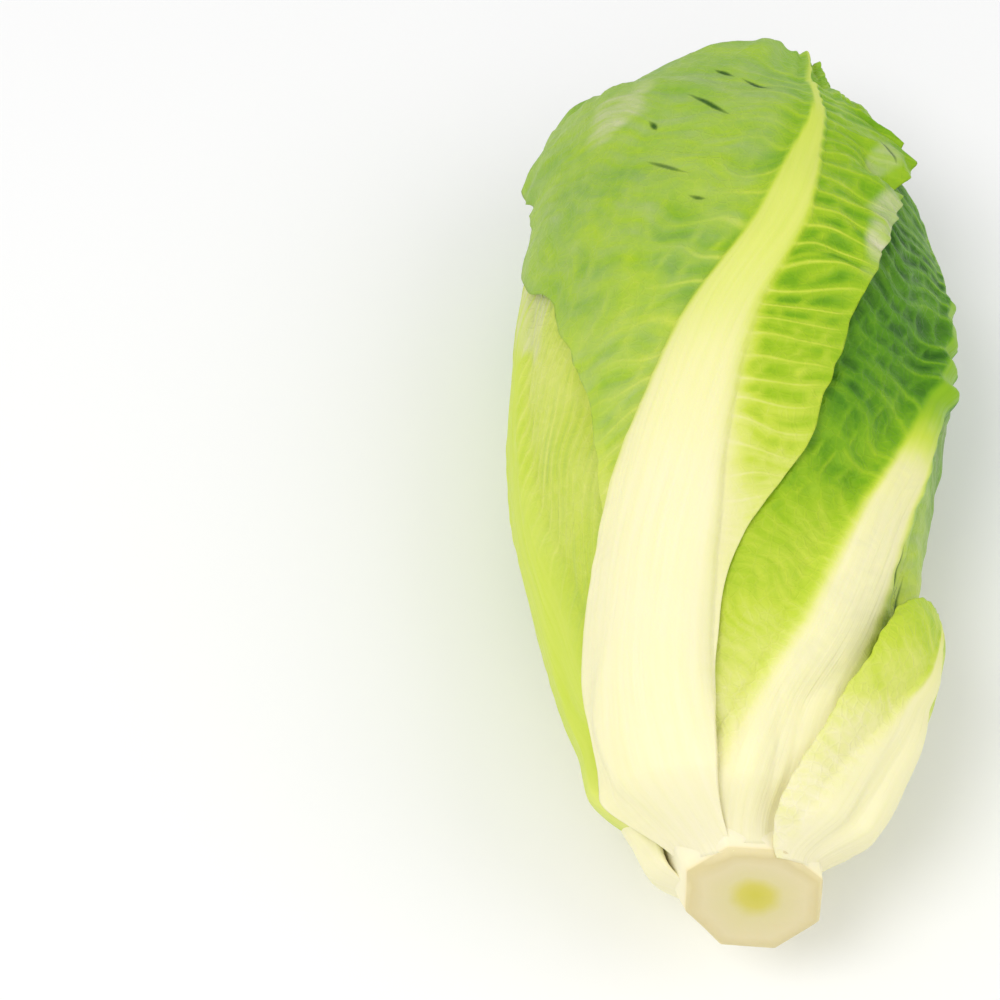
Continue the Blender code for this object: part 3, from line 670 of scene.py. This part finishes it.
def relief(leaf, look, u, v):
    """Height of the pockets, swells and creases over the leaf's plain form, in metres."""
    across, along = leaf_place(leaf, u, v)
    phase, cross = vein_phase(leaf, look, u, v)
    row = np.floor(phase)
    within = (cross + CELL_SHIFT * row) % 1.0
    pocket = np.sin(math.pi * (phase - row)) ** 2 * (1 - (2 * within - 1) ** 4)
    pocket = pocket * (0.8 + 0.7 * rough(across * 90, along * 90, look.seed + 15))
    share = blade_share(leaf, look, u, v)
    swell = look.swell * (rough(across * 55, along * 55, look.seed + 12) + 0.4)
    height = (swell - by_side(u, look.pocket_depth) * pocket) * share
    off, open_here = nearest_crease(leaf, look, u, v)
    return height - CREASE_DEPTH * open_here * np.exp(-((off / CREASE_HALF) ** 2))


def fine_place(laid, look, u, v):
    """The leaf point's azimuth, place along and inner reach, with a bitten margin and finer ruffles."""
    leaf = laid.leaf
    length = leaf.tip - leaf.start
    side = np.sign(u)
    grown = smooth_step((v - 0.20) / 0.30)
    lobes = LOBE * rough(v * length * 75 + 30 * side, side * 3.0 + 5, look.seed + 4)
    teeth = TOOTH * rough(v * length * 190 + 30 * side, side * 3.0 + 9, look.seed + 5)
    bitten = u * (1 + look.lobe * (lobes + teeth) * grown * np.abs(u) ** 3)
    tip = smooth_step((v - 0.85) / 0.15)
    crown = rough(u * 9, v * 0 + 0.5, look.seed + 6) + 0.5 * rough(u * 27, v * 0 + 0.5, look.seed + 7)
    azimuth, along, inner, open_share = laid.tucked(bitten, v, by_side(u, look.tuck))
    along = along + TIP_LOBE * look.lobe * tip * crown
    fold = rough(v * length * 48 + 11 * side, np.abs(u) * 2.0, look.seed + 8)
    fold = fold + 0.45 * rough(v * length * 125 + 19 * side, np.abs(u) * 3.0, look.seed + 13)
    frill = look.ruffle * (0.35 + 0.65 * fold) * np.abs(u) ** 3 * grown
    frill = frill + crumple(leaf, look, u, v)
    return azimuth, along, inner + frill * (0.25 + 0.75 * open_share)


def leaf_fields(leaf, look, u, v):
    """The leaf's colour attributes. Lengths in them are in millimetres."""
    across, along = leaf_place(leaf, u, v)
    phase, cross = vein_phase(leaf, look, u, v)
    out, half = np.abs(across), leaf.rib_half(v) * look.rib_show(v) * rib_widening(look, u, v)
    fade = by_side(u, look.fade) * (1 - 0.85 * smooth_step((v - 0.30) / 0.35))
    pale = 1 - smooth_step((out - 0.72 * half) / (0.36 * half + fade))
    blade = blade_share(leaf, look, u, v)
    reach = by_side(u, look.vein_reach)
    kept = 1 - 0.7 * smooth_step((v - look.vein_fade[0]) / (look.vein_fade[1] - look.vein_fade[0]))
    off, open_here = nearest_crease(leaf, look, u, v)
    return {
        "green": look.green(v) + 0.0 * u,
        "pale": pale,
        "rib_tone": look.rib_tone(v) + 0.0 * u,
        "vein": by_side(u, look.vein) * blade * kept * np.exp(-((out / reach) ** 2)),
        # Share of painted shade in the pockets between veins
        "pocket": by_side(u, look.pocket) * blade * kept * smooth_step((v - 0.30) / 0.20),
        "phase": phase,
        "cross": cross,
        "across": across * MILLIMETRES,
        "along": along * MILLIMETRES,
        # Dried patches and painted sheen
        "dry": dry_and_sheen_share(leaf, look, u, v),
        # Where the painted shade of the creases goes
        "crease": off * MILLIMETRES,
        "open": open_here,
    }


def linked(name, data):
    """A new object with this data, in the scene."""
    obj = bpy.data.objects.new(name, data)
    bpy.context.scene.collection.objects.link(obj)
    return obj


def meshed(name, bm):
    """A mesh from a bmesh, which it frees."""
    mesh = bpy.data.meshes.new(name)
    bm.to_mesh(mesh)
    bm.free()
    return mesh


def add_fields(mesh, fields):
    """Puts values on a mesh's vertices, for its material to read."""
    for key, values in fields.items():
        held = mesh.attributes.new(key, "FLOAT", "POINT")
        held.data.foreach_set("value", np.asarray(values, np.float32))


def sheet_object(name, columns, rows, points):
    """A closed thin sheet: a grid extruded once. points(x, y, face) gives its points and attributes."""
    bm = bmesh.new()
    bmesh.ops.create_grid(bm, x_segments=columns, y_segments=rows, size=1.0)
    count = len(bm.verts)
    bmesh.ops.extrude_face_region(bm, geom=bm.faces[:])
    mesh = meshed(name, bm)
    flat = np.empty(len(mesh.vertices) * 3, np.float32)
    mesh.vertices.foreach_get("co", flat)
    flat = flat.reshape(-1, 3).astype(float)
    inner, fields = points(flat[:count, 0], flat[:count, 1], 0)
    outer, more = points(flat[count:, 0], flat[count:, 1], 1)
    co = np.concatenate([inner, outer])
    mesh.vertices.foreach_set("co", co.astype(np.float32).ravel())
    add_fields(mesh, {key: np.concatenate([fields[key], more[key]]) for key in fields})
    mesh.update()
    mesh.shade_smooth()
    return linked(name, mesh)


def press_on_floor(mesh):
    """Flattens what a sheet would reach below the floor, with its inner face a blade's thickness up."""
    flat = np.empty(len(mesh.vertices) * 3, np.float32)
    mesh.vertices.foreach_get("co", flat)
    co = flat.reshape(2, -1, 3)
    co[0, :, 2] = np.maximum(co[0, :, 2], FLOOR_GAP + THIN_BLADE)
    co[1, :, 2] = np.maximum(co[1, :, 2], FLOOR_GAP)
    mesh.vertices.foreach_set("co", co.ravel())


def leaf_object(laid, look):
    """One leaf as a closed thin sheet, whose foot runs into the stem."""
    leaf = laid.leaf

    def points(x, y, face):
        u = np.sign(x) * np.abs(x) ** 1.1
        v = 0.5 + 0.5 * y
        azimuth, along, inner = fine_place(laid, look, u, v)
        blade = EDGE_BLADE + (THIN_BLADE - EDGE_BLADE) * (1 - np.abs(u) ** 6)
        bluntness = 0.75 - look.rib_blunt * lower_part(v)
        thick = blade + leaf.rib_thickness(u, v, rib_widening(look, u, v), bluntness)
        reach = inner + BLADE_LIFT + relief(leaf, look, u, v) + face * thick
        climb = smooth_step((along - leaf.start) / look.foot)
        sunk = stem_radius(along) - BASE_SINK + face * FOOT_BLADE
        return place(azimuth, along, sunk + (reach - sunk) * climb), leaf_fields(leaf, look, u, v)

    return sheet_object(f"{leaf.name}_look", look.cells[0], look.cells[1], points)


def stem_outline(azimuth, share):
    """The stem's reach as a share of its round one: knife-trimmed sides that fade upwards."""
    side = 2 * math.pi / STEM_SIDES
    off = (azimuth + 0.3) % side - side / 2
    trimmed = math.cos(side / 2) / np.cos(off) * 1.045
    return 1 + (trimmed - 1) * (1 - share)


def stem_rings(segments, face_shares, side_rings, tilt):
    """Rings of points over the stem's cut face and up its side, in the leaves' frame."""
    azimuth = np.arange(segments) * 2 * math.pi / segments
    slope = math.tan(tilt)
    back = (slope - math.tan(CUT_TILT)) * STEM_KNOTS[0][1]
    rings = []
    for share in face_shares:
        reach = STEM_KNOTS[0][1] * share * stem_outline(azimuth, 1 - share)
        dish = CUT_DISH * (1 - smooth_step((share - 0.3) / 0.6))
        rounded = RIM_ROUND * smooth_step((share - 0.90) / 0.10)
        rings.append(place(azimuth, back + slope * reach * np.cos(azimuth) + dish + rounded, reach))
    for k in range(side_rings + 1):
        share = k / side_rings
        along = RIM_ROUND * 2 + share * (STEM_TOP - RIM_ROUND * 2)
        reach = stem_radius(along) * stem_outline(azimuth, share)
        lean = (back + slope * reach * np.cos(azimuth)) * (1 - share) ** 2
        rings.append(place(azimuth, along + lean, reach))
    return rings


def ring_object(name, rings, fields):
    """A closed body through rings of points, each ring a step of an extruded circle."""
    bm = bmesh.new()
    made = bmesh.ops.create_circle(bm, cap_ends=True, radius=1.0, segments=len(rings[0]))
    order = list(zip(made["verts"], rings[0]))
    edges = list(bm.edges)
    for ring in rings[1:]:
        made = bmesh.ops.extrude_edge_only(bm, edges=edges)["geom"]
        verts = [item for item in made if isinstance(item, bmesh.types.BMVert)]
        edges = [item for item in made if isinstance(item, bmesh.types.BMEdge)]
        order += list(zip(verts, ring))
    for vert, co in order:
        vert.co = co
    bmesh.ops.edgeloop_fill(bm, edges=edges)
    bmesh.ops.recalc_face_normals(bm, faces=bm.faces[:])
    mesh = meshed(name, bm)
    add_fields(mesh, fields)
    mesh.shade_smooth()
    return linked(name, mesh)


def stem_object():
    """The stem. Its attribute runs from 0 in the cut face's middle to 1 at the rim, and on up the side."""
    face_shares = [0.04 + 0.93 * k / (FACE_RINGS - 1) for k in range(FACE_RINGS)]
    rings = stem_rings(STEM_SEGMENTS, face_shares, SIDE_RINGS, FACE_TILT)
    cut = face_shares + [1.0 + 0.5 * k for k in range(SIDE_RINGS + 1)]
    return ring_object("stem_look", rings, {"cut": np.repeat(cut, STEM_SEGMENTS)})


def plain_fields(green, pale, across, along):
    """Colour attributes of a young leaf, with fine side veins. Lengths in metres."""
    zero = 0.0 * green
    return {
        "green": green, "pale": pale, "rib_tone": zero + 0.16, "vein": zero + 0.25, "pocket": zero,
        "phase": (along - 0.5 * np.abs(across)) / 0.006, "cross": np.abs(across) / 0.008,
        "across": across * MILLIMETRES, "along": along * MILLIMETRES, "dry": zero,
        "crease": zero + 9.0, "open": zero,
    }


def heart_object():
    """The closed heart: short ruffled leaves round a slim core, joined as one piece."""
    sides, steps = 40, 25
    azimuth = np.arange(sides) * 2 * math.pi / sides
    height = np.linspace(HEART_BASE, HEART_TIP, steps)
    rings = []
    for along in height:
        wrap = 0.03 * np.sin(3 * azimuth - 30 * along)
        rings.append(place(azimuth, np.full_like(azimuth, along), heart_radius(along) * (0.93 + wrap)))
    share = np.repeat(np.linspace(0, 1, steps), sides)
    across = np.tile(0.02 * np.sin(azimuth), steps)
    core = ring_object(
        "heart_core", rings, plain_fields(0.20 + 0.25 * share, 1 - share, across, np.repeat(height, sides)))
    return joined("heart_look", [core] + [heart_blade(order) for order in range(HEART_BLADES)])


def heart_blade(order):
    """One of the heart's own small leaves, rolled more than half round it."""
    base = 0.0225 - 0.0024 * order
    start = 0.120 + 0.008 * order
    tip = 0.222 + 0.0035 * order
    half_angle = min(0.9 + 0.12 * order, 1.6)

    def points(x, y, face):
        u, v = x, 0.5 + 0.5 * y
        top = smooth_step((v - 0.7) / 0.3)
        along = start + v * (tip - 0.010 * np.abs(u) ** 2.2 - start)
        along = along + 0.004 * rough(u * 5 + 20 * order, v * 0 + 0.5, 71) * top
        turn = math.radians(20 + GOLDEN_ANGLE * order) + 0.7 * v
        wave = 0.0022 * rough(v * 7 + order * 13, u * 2 + 40, 72) * np.abs(u) ** 1.5 * smooth_step(v)
        reach = base * (1 - 0.35 * smooth_step((v - 0.5) / 0.5)) + wave + face * HEART_BLADE
        across = u * half_angle * reach
        pale = 1 - smooth_step((np.abs(across) - 0.003 * (1.1 - v)) / 0.004)
        fields = plain_fields(0.24 + 0.24 * v, pale, across, v * (tip - start))
        return place(turn + u * half_angle * (0.6 + 0.4 * v), along, reach), fields

    return sheet_object(f"heart_blade_{order}", 30, 44, points)


def joined(name, objects):
    """One object from several, by the join of their meshes."""
    bm = bmesh.new()
    for obj in objects:
        bm.from_mesh(obj.data)
    mesh = meshed(name, bm)
    for obj in objects:
        bpy.data.objects.remove(obj)
    return linked(name, mesh)


# Materials


def srgb(red, green, blue):
    """A linear colour from a screen colour of 0 to 255."""
    def linear(c):
        c = c / 255
        return c / 12.92 if c <= 0.04045 else ((c + 0.055) / 1.055) ** 2.4
    return (linear(red), linear(green), linear(blue), 1.0)


class Socket:
    """Wraps a shader socket, so that maths on it adds the nodes for it."""

    def __init__(self, tree, socket):
        self.tree, self.socket = tree, socket

    def node(self, kind, inputs=(), settings=(), output=0):
        made = self.tree.nodes.new(kind)
        for key, value in dict(settings).items():
            setattr(made, key, value)
        for key, value in dict(inputs).items():
            if isinstance(value, Socket):
                self.tree.links.new(value.socket, made.inputs[key])
            else:
                made.inputs[key].default_value = value
        return Socket(self.tree, made.outputs[output])

    def math(self, operation, *others):
        pair = (self,) + others
        return self.node("ShaderNodeMath", dict(enumerate(pair)), {"operation": operation})

    def __add__(self, other):
        return self.math("ADD", other)

    def __radd__(self, other):
        return self.math("ADD", other)

    def __sub__(self, other):
        return self.math("SUBTRACT", other)

    def __rsub__(self, other):
        return self.node("ShaderNodeMath", {0: other, 1: self}, {"operation": "SUBTRACT"})

    def __mul__(self, other):
        return self.math("MULTIPLY", other)

    def __rmul__(self, other):
        return self.math("MULTIPLY", other)

    def feed(self, principled, name):
        self.tree.links.new(self.socket, principled.inputs[name])


def attribute(shader, name):
    return shader.node("ShaderNodeAttribute", settings={"attribute_name": name}, output="Fac")


def smooth_between(value, low, high):
    """0 below low and 1 above high, with a smooth step between."""
    limits = {"Value": value, "From Min": low, "From Max": high}
    return value.node("ShaderNodeMapRange", limits, {"interpolation_type": "SMOOTHSTEP"})


def noise_at(where, scale, detail=3.0):
    """Noise from about -0.5 to 0.5 at these coordinates."""
    inputs = {"Vector": where, "Scale": scale, "Detail": detail}
    return where.node("ShaderNodeTexNoise", inputs, output="Fac") - 0.5


def pattern_point(x, y, z=0.0):
    return x.node("ShaderNodeCombineXYZ", {0: x, 1: y, 2: z})


def tinted(base, colour, share):
    """The base colour turned towards another by a share."""
    return base.node("ShaderNodeMix", {0: share, 6: base, 7: colour}, {"data_type": "RGBA"}, output=2)


def new_material(name):
    made = bpy.data.materials.new(name)
    made.use_nodes = True
    principled = made.node_tree.nodes["Principled BSDF"]
    return made, principled, Socket(made.node_tree, principled.outputs[0])


def ramp(t, stops):
    made = t.node("ShaderNodeValToRGB", {"Fac": t})
    elements = made.socket.node.color_ramp.elements
    while len(elements) < len(stops):
        elements.new(0.5)
    for element, (at, colour) in zip(elements, stops):
        element.position = at
        element.color = colour
    return made


def soften(principled, weight, radius):
    """Lets a little light into the surface."""
    principled.inputs["Subsurface Weight"].default_value = weight
    principled.inputs["Subsurface Radius"].default_value = radius
    principled.inputs["Subsurface Scale"].default_value = 1.0


def roughen(shader, principled, height, strength):
    """Bends the surface's normal by a height pattern."""
    inputs = {"Height": height, "Strength": strength, "Distance": BUMP_DEPTH}
    shader.node("ShaderNodeBump", inputs).feed(principled, "Normal")


LEAF_COLOURS = [
    (0.00, srgb(252, 245, 203)),
    (0.12, srgb(243, 240, 168)),
    (0.26, srgb(226, 233, 118)),
    (0.42, srgb(200, 220, 66)),
    (0.58, srgb(162, 199, 30)),
    (0.72, srgb(124, 175, 14)),
    (0.86, srgb(84, 142, 4)),
    (1.00, srgb(44, 98, 2)),
]
# A pale colour for dried patches and for a painted sheen.
DRY_AND_SHEEN_COLOUR = srgb(221, 218, 180)
# A dark green for painted shade in the creases.
CREASE_SHADE_COLOUR = srgb(26, 78, 6)


def leaf_material(name):
    """Cream ribs with lengthwise fibres, and a green blade with pale veins, painted shade in its pockets
    and creases, and pale dried patches with a painted sheen.
    """
    made, principled, shader = new_material(name)
    where = shader.node("ShaderNodeTexCoord", output="Object")
    green, pale = attribute(shader, "green"), attribute(shader, "pale")
    rib_tone = attribute(shader, "rib_tone")
    phase, cross = attribute(shader, "phase"), attribute(shader, "cross")
    across, along = attribute(shader, "across"), attribute(shader, "along")
    off_rib = 1.0 - pale

    mottle = noise_at(where, MOTTLE_SCALE)
    grain = noise_at(where, GRAIN_SCALE, 2.0)
    streak = noise_at(pattern_point(phase * 2.6, cross * 0.8, across.math("SIGN") * 3.0), 1.0, 4.0)
    fibre = noise_at(pattern_point(across * 0.55, along * 0.018), 1.0, 3.0)

    on_vein = (phase.math("FRACT") - 0.5).math("ABSOLUTE") * 2.0
    start = (across.math("ABSOLUTE") * 0.010 + 0.60).math("MINIMUM", 0.84)
    line = smooth_between(on_vein, start, 1.0) * attribute(shader, "vein") * (1.0 + mottle * 2.2)
    row = phase.math("FLOOR")
    within = (cross + row * CELL_SHIFT).math("FRACT")
    cell = smooth_between(1.0 - (within * 2.0 - 1.0).math("ABSOLUTE"), 0.0, 0.5)
    # Painted shade in the pockets between the veins; the same mask also dips the bump.
    shaded_pocket = smooth_between(1.0 - on_vein, 0.15, 0.85) * cell
    shaded_pocket = shaded_pocket * attribute(shader, "pocket") * (1.0 + mottle * 4.0)

    cells = {"Vector": where, "Scale": NET_SCALE}
    net = shader.node("ShaderNodeTexVoronoi", cells, {"feature": "DISTANCE_TO_EDGE"}, output="Distance")
    thread = 1.0 - smooth_between(net, 0.0, 0.16)

    blade = green * (1.0 - line * 0.8) + shaded_pocket - thread * 0.02
    blade = blade + mottle * 0.20 + streak * 0.26 + grain * 0.08
    rib = rib_tone + fibre * 0.10 + mottle * 0.05
    tone = blade * off_rib + rib * pale
    colour = ramp(tone, LEAF_COLOURS)
    # Pale dried patches, and a painted sheen off the rib
    colour = tinted(colour, DRY_AND_SHEEN_COLOUR, attribute(shader, "dry") * (0.9 + streak * 3.2))
    # Painted shade along the creases, which are also real shallow grooves
    shade_opening = attribute(shader, "open") * (1.0 + mottle * 2.0)
    from_crease = attribute(shader, "crease").math("ABSOLUTE")
    crease_shade = 1.0 - smooth_between(from_crease, shade_opening * 0.2, shade_opening * 1.1 + 0.05)
    colour = tinted(colour, CREASE_SHADE_COLOUR, crease_shade * shade_opening.math("MINIMUM", 1.0) * 0.9)
    colour.feed(principled, "Base Color")

    height = (line * 0.7 - shaded_pocket * 1.2 + thread * 0.22 + streak * 0.7 + grain * 0.25) * off_rib
    height = height + fibre * pale * 0.8
    roughen(shader, principled, height, 0.5)
    (grain * 0.25 + streak * 0.15 + 0.42).feed(principled, "Roughness")
    soften(principled, 0.12, (0.004, 0.005, 0.001))
    principled.inputs["Specular IOR Level"].default_value = 0.2
    return made


def stem_material():
    """Cream flesh, a tan rim round the cut face and a yellow-green pith in its middle."""
    made, principled, shader = new_material("stem_look")
    where = shader.node("ShaderNodeTexCoord", output="Object")
    grain = noise_at(where, FLESH_GRAIN_SCALE, 4.0)
    blotch = noise_at(where, FLESH_BLOTCH_SCALE, 2.0)
    ring = attribute(shader, "cut") + blotch * 0.30 + grain * 0.08
    colour = ramp(ring * 0.5, [
        (0.00, srgb(210, 201, 66)),
        (0.12, srgb(216, 206, 92)),
        (0.22, srgb(225, 214, 156)),
        (0.38, srgb(229, 216, 168)),
        (0.47, srgb(222, 207, 152)),
        (0.54, srgb(244, 230, 180)),
        (0.66, srgb(250, 240, 200)),
        (1.00, srgb(252, 244, 206)),
    ])
    colour.feed(principled, "Base Color")
    roughen(shader, principled, grain + blotch * 0.6, 0.4)
    (grain * 0.2 + 0.5).feed(principled, "Roughness")
    soften(principled, 0.15, (0.006, 0.005, 0.002))
    return made


# The head


def frame_offset():
    """The way from the leaves' own frame to the solids', by the stem's box."""
    rings = stem_rings(32, (0.42, 0.94), 8, CUT_TILT)
    low = np.min([ring.min(axis=0) for ring in rings], axis=0)
    return Vector(np.array(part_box("stem")[0]) - low)


def build_head():
    """Every piece, with its finish, in the place of the solid of the same name."""
    offset = frame_offset()
    inside = inner_leaves()
    names = [leaf.name for leaf in inside]
    outer_finish, inner_finish = leaf_material("outer_leaf_look"), leaf_material("inner_leaf_look")
    pieces = [(stem_object(), "stem", stem_material(), "stem_cream"),
              (heart_object(), "heart", inner_finish, "inner_green")]
    for laid in lay_leaves(OUTER_LEAVES + inside):
        name = laid.leaf.name
        if name in LOOKS:
            pieces.append((leaf_object(laid, LOOKS[name]), name, outer_finish, "outer_green"))
        else:
            look = inner_look(names.index(name))
            pieces.append((leaf_object(laid, look), name, inner_finish, "inner_green"))
    for obj, node, finish, slot in pieces:
        obj.data.transform(Matrix.Translation(offset))
        if node not in ("stem", "heart"):
            press_on_floor(obj.data)
        obj.data.materials.append(finish)
        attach(obj, "root")
        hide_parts(node)


# Floor, light and camera


def add_area(name, where, size, power):
    """A soft round light that points at the head's middle."""
    light = bpy.data.lights.new(name, "AREA")
    light.shape = "DISK"
    light.size = size
    light.energy = power
    obj = linked(name, light)
    obj.location = where
    obj.rotation_euler = (Vector(LIT_POINT) - Vector(where)).to_track_quat("-Z", "Y").to_euler()


def build_stage():
    """A pale floor, a white surround and two soft lights."""
    bm = bmesh.new()
    bmesh.ops.create_grid(bm, x_segments=1, y_segments=1, size=FLOOR_HALF)
    floor = linked("floor", meshed("floor", bm))
    finish, principled, _ = new_material("floor")
    principled.inputs["Base Color"].default_value = (FLOOR_TONE, FLOOR_TONE, FLOOR_TONE, 1.0)
    principled.inputs["Roughness"].default_value = FLOOR_ROUGHNESS
    floor.data.materials.append(finish)
    world = bpy.data.worlds.new("studio")
    world.use_nodes = True
    world.node_tree.nodes["Background"].inputs["Color"].default_value = (1.0, 1.0, 1.0, 1.0)
    world.node_tree.nodes["Background"].inputs["Strength"].default_value = WORLD_LIGHT
    bpy.context.scene.world = world
    add_area("key", KEY_PLACE, KEY_SIZE, KEY_POWER)
    add_area("fill", FILL_PLACE, FILL_SIZE, FILL_POWER)
    bpy.context.scene.view_settings.view_transform = "Standard"


def build_camera():
    """The photo's view: from 58 degrees up, a little to the left of the stem's cut face."""
    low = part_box("stem")[0]
    rim = [v.co.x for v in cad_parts["stem"].data.vertices if v.co.y < low.y + 0.004]
    target = Vector(((min(rim) + max(rim)) / 2 + CAMERA_SIDE, CAMERA_AHEAD, CAMERA_HEIGHT))
    away = Vector((0, -math.cos(CAMERA_ELEVATION), math.sin(CAMERA_ELEVATION)))
    data = bpy.data.cameras.new("camera")
    data.lens = CAMERA_LENS
    data.sensor_width = SENSOR_WIDTH
    camera = linked("camera", data)
    camera.location = target + away * CAMERA_DISTANCE
    camera.rotation_euler = (-away).to_track_quat("-Z", "Y").to_euler()
    bpy.context.scene.camera = camera


build_head()
build_stage()
build_camera()
bpy.context.view_layer.update()
